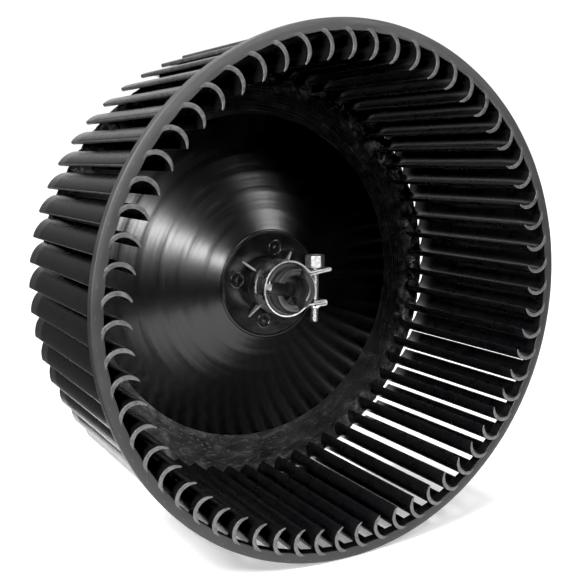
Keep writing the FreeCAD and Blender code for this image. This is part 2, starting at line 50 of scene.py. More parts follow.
# ----------------------------------------------------------------- helpers
def mat_new(name):
    m = bpy.data.materials.new(name)
    m.use_nodes = True
    nt = m.node_tree
    return m, nt, nt.nodes["Principled BSDF"]

def N(nt, kind, **kw):
    n = nt.nodes.new(kind)
    for k, v in kw.items():
        setattr(n, k, v)
    return n

def ramp(nt, fac, stops):
    r = N(nt, "ShaderNodeValToRGB")
    cr = r.color_ramp
    while len(cr.elements) < len(stops):
        cr.elements.new(0.5)
    for e, (p, c) in zip(cr.elements, stops):
        e.position = p
        e.color = (c[0], c[1], c[2], 1) if isinstance(c, (tuple, list)) else (c, c, c, 1)
    nt.links.new(fac, r.inputs["Fac"])
    return r.outputs["Color"]

def noise_tex(nt, vec, scale, detail=3.0, rough=0.5, dist=0.0):
    n = N(nt, "ShaderNodeTexNoise")
    n.inputs["Scale"].default_value = scale
    n.inputs["Detail"].default_value = detail
    n.inputs["Roughness"].default_value = rough
    n.inputs["Distortion"].default_value = dist
    if vec is not None:
        nt.links.new(vec, n.inputs["Vector"])
    return n.outputs["Fac"]

def obj_vec(nt):
    return N(nt, "ShaderNodeTexCoord").outputs["Object"]

def bump(nt, bsdf, height, strength, distance, prev=None):
    b = N(nt, "ShaderNodeBump")
    b.inputs["Strength"].default_value = strength
    b.inputs["Distance"].default_value = distance
    nt.links.new(height, b.inputs["Height"])
    if prev is not None:
        nt.links.new(prev, b.inputs["Normal"])
    nt.links.new(b.outputs["Normal"], bsdf.inputs["Normal"])
    return b.outputs["Normal"]

# --------------------------------------------------------------- materials
def link_in(nt, out, sock):
    nt.links.new(out, sock)


def mixf(nt, a, b, fac):
    """Blend two scalar outputs."""
    n = N(nt, "ShaderNodeMix", data_type="FLOAT")
    nt.links.new(fac, n.inputs[0])
    nt.links.new(a, n.inputs[2])
    nt.links.new(b, n.inputs[3])
    return n.outputs[0]


def math_n(nt, op, a, b=None, clamp=False):
    n = N(nt, "ShaderNodeMath", operation=op, use_clamp=clamp)
    for i, v in enumerate((a, b)):
        if v is None:
            continue
        if isinstance(v, (int, float)):
            n.inputs[i].default_value = v
        else:
            nt.links.new(v, n.inputs[i])
    return n.outputs[0]


def scaled(nt, vec, sx, sy, sz, rot=(0, 0, 0)):
    mp = N(nt, "ShaderNodeMapping")
    mp.inputs["Scale"].default_value = (sx, sy, sz)
    mp.inputs["Rotation"].default_value = rot
    nt.links.new(vec, mp.inputs["Vector"])
    return mp.outputs["Vector"]


def polar_vec(nt, vec, ra=1.0, rr=1.0, ry=1.0):
    """(angle * ra, radius * rr, y * ry) about the spin axis, for marks that run round the part."""
    s = N(nt, "ShaderNodeSeparateXYZ")
    nt.links.new(vec, s.inputs[0])
    ang = math_n(nt, "ARCTAN2", s.outputs["Z"], s.outputs["X"])
    xx = math_n(nt, "MULTIPLY", s.outputs["X"], s.outputs["X"])
    zz = math_n(nt, "MULTIPLY", s.outputs["Z"], s.outputs["Z"])
    rad = math_n(nt, "SQRT", math_n(nt, "ADD", xx, zz))
    c = N(nt, "ShaderNodeCombineXYZ")
    nt.links.new(math_n(nt, "MULTIPLY", ang, ra), c.inputs["X"])
    nt.links.new(math_n(nt, "MULTIPLY", rad, rr), c.inputs["Y"])
    nt.links.new(math_n(nt, "MULTIPLY", s.outputs["Y"], ry), c.inputs["Z"])
    return c.outputs[0], rad


def plastic(name, base, hi, r0, r1, scale=60.0, fine=1500.0, fine_d=0.00002, coarse_d=0.00003, spec=0.5):
    m, nt, b = mat_new(name)
    v = obj_vec(nt)
    n1 = noise_tex(nt, v, scale, 5.0, 0.6)
    n2 = noise_tex(nt, v, fine, 2.0, 0.5)
    nt.links.new(ramp(nt, n1, [(0.32, base), (0.7, hi)]), b.inputs["Base Color"])
    nt.links.new(ramp(nt, n1, [(0.3, r0), (0.7, r1)]), b.inputs["Roughness"])
    nr = bump(nt, b, n1, 0.5, coarse_d)
    bump(nt, b, n2, 0.6, fine_d, nr)
    b.inputs["IOR"].default_value = 1.5
    b.inputs["Specular IOR Level"].default_value = spec
    return m, nt, b


M_ring, nt, b = plastic("ring_plastic", (0.0185, 0.0185, 0.0192), (0.028, 0.028, 0.029), 0.40, 0.52, 90.0, spec=0.3)
# streaks along the band, painted lighter toward the top: painted light for the light that falls on the upper run; the
# streak texture is surface streaking
v = obj_vec(nt)
pvr, _ = polar_vec(nt, v, 7.0, 900.0, 60.0)
ns = noise_tex(nt, pvr, 1.0, 5.0, 0.62)
sr = N(nt, "ShaderNodeSeparateXYZ")
nt.links.new(v, sr.inputs[0])
# painted light: mask that rises toward the top of the band
painted_top_light = ramp(nt, math_n(nt, "ADD", math_n(nt, "MULTIPLY", sr.outputs["Z"], 4.9), 0.5), [(0.5, 0.0), (0.95, 1.0)])
st = ramp(nt, ns, [(0.36, 0.45), (0.64, 1.0)])
streak_and_painted_top_light = N(nt, "ShaderNodeMix", data_type="RGBA")
nt.links.new(math_n(nt, "MULTIPLY", painted_top_light, st), streak_and_painted_top_light.inputs[0])
nt.links.new(b.inputs["Base Color"].links[0].from_socket, streak_and_painted_top_light.inputs[6])
streak_and_painted_top_light.inputs[7].default_value = (0.062, 0.062, 0.0635, 1)
nt.links.new(streak_and_painted_top_light.outputs[2], b.inputs["Base Color"])
M_blade, _, _ = plastic("blade_plastic", (0.0035, 0.0035, 0.004), (0.0055, 0.0055, 0.006), 0.25, 0.33, 160.0, spec=0.5, fine_d=0.000003, coarse_d=0.00001)
# lighter plastics for the blade end faces and outer tips: painted highlight for the glints along their edges
M_blade_end_painted_highlight, _, _ = plastic("blade_end_painted_highlight", (0.04, 0.04, 0.041), (0.11, 0.11, 0.112), 0.3, 0.46, 700.0)
M_blade_edge_painted_highlight, _, _ = plastic("blade_edge_painted_highlight", (0.035, 0.035, 0.036), (0.10, 0.10, 0.102), 0.28, 0.42, 420.0)
M_hub, _, _ = plastic("hub_plastic", (0.004, 0.004, 0.0045), (0.008, 0.008, 0.0085), 0.16, 0.26, 260.0)

M_sleeve, nt, b = plastic("sleeve_plastic", (0.02, 0.02, 0.0205), (0.04, 0.04, 0.041), 0.30, 0.42, 500.0, fine_d=0.00001)
v = obj_vec(nt)
pvs, _ = polar_vec(nt, v, 0.6, 3200.0, 900.0)
nsl = noise_tex(nt, pvs, 1.0, 3.0, 0.6)
nt.links.new(ramp(nt, nsl, [(0.36, (0.008, 0.008, 0.0082)), (0.52, (0.026, 0.026, 0.0265)), (0.66, (0.085, 0.085, 0.087))]), b.inputs["Base Color"])
# light grey ribs: painted highlight for the glints along their rounded edges
M_rib_painted_highlight, _, _ = plastic("rib_painted_highlight", (0.2, 0.2, 0.203), (0.38, 0.38, 0.385), 0.24, 0.36, 500.0)

# plate: turned face with fine grooves, greyer and scuffed in patches where it was welded
M_plate, nt, b = mat_new("plate_plastic")
v = obj_vec(nt)
pv, prad = polar_vec(nt, v, 5.0, 1500.0, 60.0)
pv2, _ = polar_vec(nt, v, 26.0, 240.0, 60.0)
n1 = noise_tex(nt, pv2, 1.0, 4.0, 0.55, 0.3)
n2 = noise_tex(nt, pv, 1.0, 3.0, 0.6, 0.0)
n3 = noise_tex(nt, v, 2600.0, 2.0, 0.5)
n4 = noise_tex(nt, v, 210.0, 5.0, 0.65, 0.8)
rim = ramp(nt, prad, [(0.0845, 0.0), (0.0885, 1.0)])
scuff = ramp(nt, n4, [(0.47, (0.002, 0.002, 0.0021)), (0.58, (0.03, 0.03, 0.0305)), (0.69, (0.15, 0.15, 0.153))])
face = ramp(nt, n1, [(0.44, (0.0014, 0.0014, 0.0015)), (0.64, (0.004, 0.004, 0.0042)), (0.84, (0.045, 0.045, 0.046))])
mx = N(nt, "ShaderNodeMix", data_type="RGBA")
nt.links.new(rim, mx.inputs[0])
nt.links.new(face, mx.inputs[6])
nt.links.new(scuff, mx.inputs[7])
# cloudy scuffed patch along one side of the face, painted lighter there: painted light for the lamp light that falls on
# that side
so = N(nt, "ShaderNodeSeparateXYZ")
nt.links.new(v, so.inputs[0])
turn = math_n(nt, "ADD", math_n(nt, "MULTIPLY", math_n(nt, "ARCTAN2", so.outputs["Z"], so.outputs["X"]), 0.159155), 0.5)
# painted light: angular mask for the side of the face that is painted lighter
where = ramp(nt, turn, [(0.03, 0.0), (0.09, 0.9), (0.17, 1.0), (0.24, 0.6), (0.33, 0.3), (0.46, 0.0)])
pv3, _ = polar_vec(nt, v, 6.0, 150.0, 60.0)
pv4, _ = polar_vec(nt, v, 30.0, 1300.0, 60.0)
n5 = noise_tex(nt, pv3, 1.0, 7.0, 0.7, 1.0)
n6 = noise_tex(nt, pv4, 1.0, 4.0, 0.75, 0.6)
cloud = ramp(nt, n5, [(0.36, (0.012, 0.012, 0.0122)), (0.55, (0.055, 0.055, 0.056)), (0.70, (0.18, 0.18, 0.183))])
speck = ramp(nt, n6, [(0.57, 0.0), (0.68, 1.0)])
cl = N(nt, "ShaderNodeMix", data_type="RGBA")
nt.links.new(math_n(nt, "MULTIPLY", speck, 0.7), cl.inputs[0])
nt.links.new(cloud, cl.inputs[6])
cl.inputs[7].default_value = (0.3, 0.3, 0.304, 1)
scuff_and_painted_light = N(nt, "ShaderNodeMix", data_type="RGBA")
nt.links.new(where, scuff_and_painted_light.inputs[0])
nt.links.new(mx.outputs[2], scuff_and_painted_light.inputs[6])
nt.links.new(cl.outputs[2], scuff_and_painted_light.inputs[7])
nt.links.new(scuff_and_painted_light.outputs[2], b.inputs["Base Color"])
nt.links.new(ramp(nt, n1, [(0.35, 0.34), (0.7, 0.5)]), b.inputs["Roughness"])
nr = bump(nt, b, n1, 0.8, 0.0003)
nr = bump(nt, b, n2, 0.9, 0.00022, nr)
bump(nt, b, n3, 0.3, 0.00002, nr)
b.inputs["Specular IOR Level"].default_value = 0.24

# cone: smooth glossy black with fine rings left by the turned mould
M_cone, nt, b = mat_new("gloss_cone")
v = obj_vec(nt)
pv, prad = polar_vec(nt, v, 1.1, 700.0, 0.0)
pv2, _ = polar_vec(nt, v, 0.5, 2600.0, 0.0)
n1 = noise_tex(nt, pv, 1.0, 4.0, 0.6)
n2 = noise_tex(nt, pv2, 1.0, 3.0, 0.6)
n3 = noise_tex(nt, v, 60.0, 4.0, 0.6)
nt.links.new(ramp(nt, n3, [(0.3, (0.0014, 0.0014, 0.0015)), (0.75, (0.0026, 0.0026, 0.0028))]), b.inputs["Base Color"])
b.inputs["Specular IOR Level"].default_value = 0.36
nt.links.new(ramp(nt, n1, [(0.3, 0.21), (0.7, 0.27)]), b.inputs["Roughness"])
nr = bump(nt, b, n1, 0.5, 0.00004)
bump(nt, b, n2, 0.5, 0.00001, nr)
b.inputs["IOR"].default_value = 1.5
b.inputs["Coat Weight"].default_value = 0.2
b.inputs["Coat Roughness"].default_value = 0.14


def steel(name, base, lo_, r0, r1, scale=420.0):
    m, nt, b = mat_new(name)
    v = obj_vec(nt)
    b.inputs["Metallic"].default_value = 1.0
    n1 = noise_tex(nt, v, scale, 4.0, 0.6)
    n2 = noise_tex(nt, scaled(nt, v, 300, 2600, 300), 1.0, 3.0, 0.6)
    nt.links.new(ramp(nt, n1, [(0.3, (lo_, lo_, lo_)), (0.7, (base, base, base * 1.01))]), b.inputs["Base Color"])
    nt.links.new(ramp(nt, n1, [(0.3, r0), (0.7, r1)]), b.inputs["Roughness"])
    nr = bump(nt, b, n1, 0.4, 0.00002)
    bump(nt, b, n2, 0.4, 0.00001, nr)
    return m


M_steel = steel("plated_steel", 0.72, 0.55, 0.2, 0.34)
M_cut = steel("sheared_steel_edge", 0.97, 0.88, 0.33, 0.43, 900.0)
M_screw = steel("screw_steel", 0.86, 0.4, 0.28, 0.44, 900.0)

# ---------------------------------------------------------------- geometry
MM = 0.001
HALF = 42.0


def link(me, name):
    o = bpy.data.objects.new(name, me)
    bpy.context.scene.collection.objects.link(o)
    return o


def mesh_from(name, vs, fs, smooth=True, mats=()):
    me = bpy.data.meshes.new(name)
    me.from_pydata([(x * MM, y * MM, z * MM) for x, y, z in vs], [], fs)
    me.validate()
    me.update()
    for p in me.polygons:
        p.use_smooth = smooth
    o = link(me, name)
    for m in mats:
        me.materials.append(m)
    return o


def fix_normals(o):
    bm = bmesh.new()
    bm.from_mesh(o.data)
    bmesh.ops.recalc_face_normals(bm, faces=bm.faces)
    bm.to_mesh(o.data)
    bm.free()
    o.data.update()


def apply_mods(o):
    dg = bpy.context.evaluated_depsgraph_get()
    me = bpy.data.meshes.new_from_object(o.evaluated_get(dg))
    old = o.data
    o.modifiers.clear()
    o.data = me
    bpy.data.meshes.remove(old)


def bevel(o, width_mm, segs=2, angle=35.0):
    b = o.modifiers.new("edge_round", "BEVEL")
    b.width = width_mm * MM
    b.segments = segs
    b.limit_method = "ANGLE"
    b.angle_limit = math.radians(angle)
    b.harden_normals = True
    b.miter_outer = "MITER_ARC"


def round_profile(pts, radii, seg=4):
    """Closed (r, h) polygon with its corners rounded: radii maps a corner index to a radius."""
    out = []
    n = len(pts)
    for i in range(n):
        p = Vector(pts[i])
        rad = radii.get(i, 0.0)
        if rad <= 0:
            out.append(tuple(p))
            continue
        a, b = (Vector(pts[i - 1]) - p), (Vector(pts[(i + 1) % n]) - p)
        la, lb = a.length, b.length
        a.normalize(); b.normalize()
        ang = a.angle(b)
        d = min(rad / math.tan(ang / 2), la * 0.49, lb * 0.49)
        rr = d * math.tan(ang / 2)
        c = p + (a + b).normalized() * (rr / math.sin(ang / 2))
        s0, s1 = (p + a * d) - c, (p + b * d) - c
        a0, a1 = math.atan2(s0.y, s0.x), math.atan2(s1.y, s1.x)
        da = (a1 - a0 + math.pi) % (2 * math.pi) - math.pi
        for k in range(seg + 1):
            t = a0 + da * k / seg
            out.append((c.x + rr * math.cos(t), c.y + rr * math.sin(t)))
    return out


def subdivide(pts, maxlen):
    out = []
    n = len(pts)
    for i in range(n):
        a, b = pts[i], pts[(i + 1) % n]
        L = math.hypot(b[0] - a[0], b[1] - a[1])
        k = max(1, int(math.ceil(L / maxlen)))
        for j in range(k):
            t = j / k
            out.append((a[0] + (b[0] - a[0]) * t, a[1] + (b[1] - a[1]) * t))
    return out


def lathe(name, prof, seg, mats=(), wobble=None):
    """Solid of revolution about Y from a closed (r, h) outline; h is the level above the motor-side plane."""
    vs, fs = [], []
    m = len(prof)
    for k in range(seg):
        a = 2 * math.pi * k / seg
        ca, sa = math.cos(a), math.sin(a)
        for (r, h) in prof:
            if wobble:
                r, h = wobble(r, h, a)
            vs.append((r * ca, HALF - h, r * sa))
    for k in range(seg):
        k2 = (k + 1) % seg
        for j in range(m):
            j2 = (j + 1) % m
            fs.append((k * m + j, k * m + j2, k2 * m + j2, k2 * m + j))
    o = mesh_from(name, vs, fs, True, mats)
    fix_normals(o)
    return o


def sharp(o, deg=38.0):
    """Split shading at real edges."""
    o.data.set_sharp_from_angle(angle=math.radians(deg))


# blade section, the same two tangent arcs as the real blade
def circ3(a, b, c):
    ax, ay = a; bx, by = b; cx, cy = c
    d = 2 * (ax * (by - cy) + bx * (cy - ay) + cx * (ay - by))
    ux = ((ax * ax + ay * ay) * (by - cy) + (bx * bx + by * by) * (cy - ay) + (cx * cx + cy * cy) * (ay - by)) / d
    uy = ((ax * ax + ay * ay) * (cx - bx) + (bx * bx + by * by) * (ax - cx) + (cx * cx + cy * cy) * (bx - ax)) / d
    return (ux, uy), math.hypot(ax - ux, ay - uy)


bA, bB, bC, bD = (0.0, 87.8), (-2.63, 92.8), (-0.29, 97.3), (6.0, 99.3)
c1, r1 = circ3(bA, bB, bC)
tx, ty = (c1[0] - bC[0]) / r1, (c1[1] - bC[1]) / r1
ddx, ddy = bD[0] - bC[0], bD[1] - bC[1]
r2 = (ddx * ddx + ddy * ddy) / (2 * (ddx * tx + ddy * ty))
c2 = (bC[0] + r2 * tx, bC[1] + r2 * ty)
aA, aC = math.atan2(bA[1] - c1[1], bA[0] - c1[0]), math.atan2(bC[1] - c1[1], bC[0] - c1[0])
if aA < aC:
    aA += 2 * math.pi
aC2, aD = math.atan2(bC[1] - c2[1], bC[0] - c2[0]), math.atan2(bD[1] - c2[1], bD[0] - c2[0])


def blade_outline(inset=0.0):
    """Closed outline (t, rho): convex side from the tip outwards, then back along the concave side."""
    conv, conc = [], []
    n1, n2 = 16, 9
    H = 0.8
    for i in range(n1 + 1):
        f = i / n1
        a = aA + (aC - aA) * f
        h_ = (0.35 + (1 - 0.35) * min(1.0, f / 0.35) ** 0.8) * 1.0
        h_ = H * h_ - inset
        conv.append((c1[0] + (r1 + h_) * math.cos(a), c1[1] + (r1 + h_) * math.sin(a)))
        conc.append((c1[0] + (r1 - h_) * math.cos(a), c1[1] + (r1 - h_) * math.sin(a)))
    for i in range(1, n2 + 1):
        f = i / n2
        a = aC2 + (aD - aC2) * f
        h_ = H - inset
        conv.append((c2[0] + (r2 + h_) * math.cos(a), c2[1] + (r2 + h_) * math.sin(a)))
        conc.append((c2[0] + (r2 - h_) * math.cos(a), c2[1] + (r2 - h_) * math.sin(a)))
    # rounded ends
    def cap(p, q, bulge, n):
        p, q = Vector(p), Vector(q)
        mid = (p + q) / 2
        d = (q - p) / 2
        nrm = Vector((d.y, -d.x))
        return [tuple(mid - d * math.cos(math.pi * k / n) + nrm * bulge * math.sin(math.pi * k / n)) for k in range(1, n)]
    end_out = cap(conv[-1], conc[-1], -0.55, 5)
    end_in = cap(conc[0], conv[0], -0.9, 5)
    return conv + end_out + list(reversed(conc)) + end_in


RING_A = 0.026
PITCH = 360.0 / 62.0
PHASE = 0.35


def fan(name, mats):
    full = blade_outline()
    ins = blade_outline(0.14)
    y0, y1 = -HALF + 0.05, HALF - 0.05
    stations = [(y0, ins, 0), (y0 + 0.05, [((a[0] * 0.3 + b[0] * 0.7), (a[1] * 0.3 + b[1] * 0.7)) for a, b in zip(ins, full)], 0), (y0 + 0.16, full, 0)]
    for k in range(1, 8):
        stations.append((y0 + 0.16 + (y1 - y0 - 0.32) * k / 8.0, full, 0))
    stations += [(y1 - 0.16, full, 0), (y1, ins, 0)]
    vs, fs, mi = [], [], []
    m = len(full)
    for k in range(62):
        a = math.radians(PHASE + PITCH * k)
        ca, sa = math.cos(a), math.sin(a)
        base = len(vs)
        for (y, sec, _) in stations:
            for (t, rho) in sec:
                vs.append((rho * ca - t * sa, y, rho * sa + t * ca))
        ns = len(stations)
        for s in range(ns - 1):
            for j in range(m):
                j2 = (j + 1) % m
                fs.append((base + s * m + j, base + s * m + j2, base + (s + 1) * m + j2, base + (s + 1) * m + j))
                # front end faces and the outer tip strip take the lighter plastics: painted highlight
                mi.append(1 if s < 2 else (2 if 25 <= j <= 29 else 0))
        # end faces as strips between the two sides
        n_side = 26
        for s, idx in ((0, 1), (ns - 1, 1)):
            o_ = base + s * m
            conv = list(range(0, n_side))
            e_out = list(range(n_side, n_side + 4))
            conc = list(range(n_side + 4, n_side + 4 + n_side))
            e_in = list(range(n_side + 4 + n_side, m))
            for i in range(n_side - 1):
                fs.append((o_ + conv[i], o_ + conv[i + 1], o_ + conc[n_side - 2 - i], o_ + conc[n_side - 1 - i]))
                mi.append(idx)
            fs.append(tuple(o_ + i for i in [conv[-1]] + e_out + [conc[0]]))
            mi.append(idx)
            fs.append(tuple(o_ + i for i in [conc[-1]] + e_in + [conv[0]]))
            mi.append(idx)
    o = mesh_from(name, vs, fs, True, mats)
    for p, i in zip(o.data.polygons, mi):
        p.material_index = i
    fix_normals(o)
    sharp(o, 50)
    return o


def rnd(x, y=0.0, z=0.0):
    return noise.noise(Vector((x, y, z)))


# inlet ring: satin band, rounded outside, a soft waviness from moulding
rp = [(97.2, 83.82), (98.3, 83.96), (99.3, 84.0), (100.3, 83.93), (101.55, 83.6), (101.55, 79.2), (97.2, 79.2)]
rp = round_profile(rp, {0: 0.35, 4: 0.9, 5: 1.5, 6: 0.5}, 6)
rp = subdivide(rp, 1.2)


def ring_wob(r, h, a):
    # a slightly scalloped inner edge where each blade runs in
    k = 62 * (a - math.radians(PHASE + 0.4))
    if r < 98.6:
        r += 0.10 * math.cos(k) * max(0.0, (98.6 - r) / 1.4)
    r += 0.03 * rnd(9 * math.cos(a), 9 * math.sin(a), 3.1)
    return r, h


ring = lathe("inlet_ring_band", rp, 744, (M_ring, M_blade), ring_wob)
# the band's inward-facing inner wall takes the black blade plastic: painted shade for the dark inside of the band
for p in ring.data.polygons:
    c = p.center
    rr_ = math.hypot(c.x, c.z)
    if rr_ < 0.0977 and (p.normal.x * c.x + p.normal.z * c.z) / rr_ < -0.6:
        p.material_index = 1
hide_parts("inlet_ring")
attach(ring, "wheel")

blades = fan("blade_fan", (M_blade, M_blade_end_painted_highlight, M_blade_edge_painted_highlight))
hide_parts("fan_blades")
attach(blades, "wheel")


def swap(o, node, body):
    if node:
        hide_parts(node)
    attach(o, body)
    return o


# plate: flat annulus with a weld bead at its rim and a faint step across the face
pp = [(72.8, 0.0), (96.2, 0.0), (96.2, 1.7), (95.95, 1.97), (94.9, 1.99), (92.6, 1.99), (84.0, 1.98), (80.0, 1.96), (76.0, 1.97), (74.4, 1.99), (72.8, 2.0)]
pp = [p_ for p_ in subdivide(round_profile(pp, {1: 0.3, 2: 0.3}, 3), 0.25)]
pp = [p_ for i_, p_ in enumerate(pp) if p_[1] > 1.5 or i_ % 8 == 0 or p_[0] > 95.8]


def plate_wob(r, h, a):
    if h > 1.0:
        w = rnd(r * 0.35, 16 * math.cos(a), 16 * math.sin(a)) * 0.5 + rnd(r * 0.8, 45 * math.cos(a), 45 * math.sin(a)) * 0.45
        edge = min(1.0, max(0.0, (r - 85.5) / 3.0))
        h = h - abs(w) * (0.04 + 0.62 * edge)
        if h > 1.5:
            # turned grooves
            amp = 0.052 + 0.03 * rnd(r * 0.8, 3.0 * math.cos(a), 3.0 * math.sin(a))
            h -= amp * (0.5 + 0.5 * math.sin(2 * math.pi * r / 1.25 + 0.8 * rnd(r * 0.3, 7.7)))
        h = min(2.0, h)
    if r > 94.9:
        # flash and melted lumps at the rim
        r = min(96.2, r - 0.8 * abs(rnd(34 * math.cos(a), 34 * math.sin(a), 2.2)) - 0.4 * abs(rnd(110 * math.cos(a), 110 * math.sin(a), 8.2)))
    return r, h


plate = lathe("weld_plate", pp, 496, (M_plate,), plate_wob)
sharp(plate, 55)
swap(plate, "back_plate", "wheel")

# cone: straight wall with the shallow rings of the turned mould
FOOT, TOP = (72.8, 2.0), (23.9, 17.35)
cl = math.hypot(TOP[0] - FOOT[0], TOP[1] - FOOT[1])
cu = ((TOP[0] - FOOT[0]) / cl, (TOP[1] - FOOT[1]) / cl)
cn = (-cu[1], cu[0]) if cu[0] > 0 else (cu[1], -cu[0])
outer = []
NR = 150
for i in range(NR + 1):
    s = cl * i / NR
    fade = min(1.0, s / 3.0, (cl - s) / 3.0)
    w = fade * (RING_A * math.sin(2 * math.pi * s / 8.2 + 0.6) + 0.35 * RING_A * math.sin(2 * math.pi * s / 4.3 + 1.9)
                + 0.12 * RING_A * math.sin(2 * math.pi * s / 1.9)) - fade * 1.5 * RING_A
    outer.append((FOOT[0] + cu[0] * s + cn[0] * w, FOOT[1] + cu[1] * s + cn[1] * w))
cprof = outer + [(23.9, 15.25), (40.0, 10.2), (56.0, 5.25), (72.8, 0.0), (72.8, 1.0)]
cone = lathe("turned_cone", cprof, 360, (M_cone,))
sharp(cone, 30)
swap(cone, "hub_cone", "wheel")


# ------------------------------------------------------------- hub pieces
def softened(node, name, width, segs, angle, mats, body, dis=1.0, edge=None):
    """A new mesh on the node's own shape with its hard edges rounded."""
    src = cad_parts[node]
    me = src.data.copy()
    me.name = name
    me.transform(src.matrix_world)
    me.materials.clear()
    for m in mats:
        me.materials.append(m)
    bm = bmesh.new()
    bm.from_mesh(me)
    for f in bm.faces:
        f.material_index = 0
        f.smooth = True
    bmesh.ops.remove_doubles(bm, verts=bm.verts, dist=2e-6)
    bmesh.ops.dissolve_limit(bm, angle_limit=math.radians(dis), verts=bm.verts, edges=bm.edges)
    ed = [e for e in bm.edges if len(e.link_faces) == 2 and e.calc_face_angle(0.0) > math.radians(angle)]
    bmesh.ops.bevel(bm, geom=ed, offset=width * MM, offset_type="OFFSET", segments=segs, profile=0.5,
                    affect="EDGES", clamp_overlap=True, miter_outer="SHARP", harden_normals=False)
    for f in bm.faces:
        f.smooth = True
    if edge is not None:
        me.materials.append(edge)
        bm.normal_update()
        for f in bm.faces:
            if abs(f.normal.y) > 0.3:
                f.material_index = 1
    bm.to_mesh(me)
    bm.free()
    me.update()
    o = link(me, name)
    sharp(o, 32)
    return swap(o, node, body)


# flange: polar sheet with round moulding marks, closed underneath
def flange_mesh():
    r0, r1, top, bot = 10.9, 23.9, 17.9, 14.9
    nr, na = 64, 720
    marks = [(16.0 * math.cos(math.radians(80 + 90 * k)), 16.0 * math.sin(math.radians(80 + 90 * k))) for k in range(4)]
    vs, fs = [], []

    def lev_at(r, a):
        x, z = r * math.cos(a), r * math.sin(a)
        h = top - 0.16
        for (mx, mz) in marks:
            d = math.hypot(x - mx, z - mz)
            if d < 2.75:
                t = min(1.0, max(0.0, (2.75 - d) / 0.3))
                h = min(h, top - 0.16 - 0.34 * t * t * (3 - 2 * t))
                if d < 0.9:
                    h = max(h, top - 0.5 + 0.22 * (1 - (d / 0.9) ** 2))
            elif d < 3.35:
                h = max(h, top - 0.16 + 0.15 * math.sin(math.pi * (d - 2.75) / 0.6))
        lip = math.exp(-((r - 23.0) / 0.35) ** 2)
        h += 0.1 * lip
        h += 0.012 * rnd(x * 0.5, z * 0.5, 4.4)
        if r > r1 - 0.6:
            q = (r - (r1 - 0.6)) / 0.6
            h -= 0.6 * (1 - math.sqrt(max(0.0, 1 - q * q)))
        return min(h, top)

    for i in range(nr + 1):
        r = r0 + (r1 - r0) * i / nr
        if i > nr - 6:
            r = r1 - (r1 - (r0 + (r1 - r0) * (nr - 6) / nr)) * (1 - math.sin(math.pi / 2 * (i - (nr - 6)) / 6))
        for k in range(na):
            a = 2 * math.pi * k / na
            vs.append((r * math.cos(a), HALF - lev_at(r, a), r * math.sin(a)))
    for i in range(nr):
        for k in range(na):
            k2 = (k + 1) % na
            fs.append((i * na + k, i * na + k2, (i + 1) * na + k2, (i + 1) * na + k))
    b0 = len(vs)
    for r in (r1, r0):
        for k in range(na):
            a = 2 * math.pi * k / na
            vs.append((r * math.cos(a), HALF - bot, r * math.sin(a)))
    for k in range(na):
        k2 = (k + 1) % na
        fs.append((nr * na + k, nr * na + k2, b0 + k2, b0 + k))
        fs.append((b0 + k, b0 + k2, b0 + na + k2, b0 + na + k))
        fs.append((b0 + na + k, b0 + na + k2, k2, k))
    o = mesh_from("hub_flange_disc", vs, fs, True, (M_hub,))
    fix_normals(o)
    sharp(o, 40)
    return swap(o, "hub_flange", "wheel")


flange_mesh()
softened("hub_sleeve", "shaft_sleeve", 0.16, 2, 34, (M_sleeve,), "wheel")
softened("hub_ribs", "gusset_ribs", 0.14, 2, 40, (M_rib_painted_highlight,), "wheel")
softened("clamp_band", "strap", 0.13, 3, 40, (M_steel,), "clamp", edge=M_cut)
softened("clip_nut", "sheet_nut", 0.1, 2, 40, (M_steel,), "clamp", edge=M_cut)
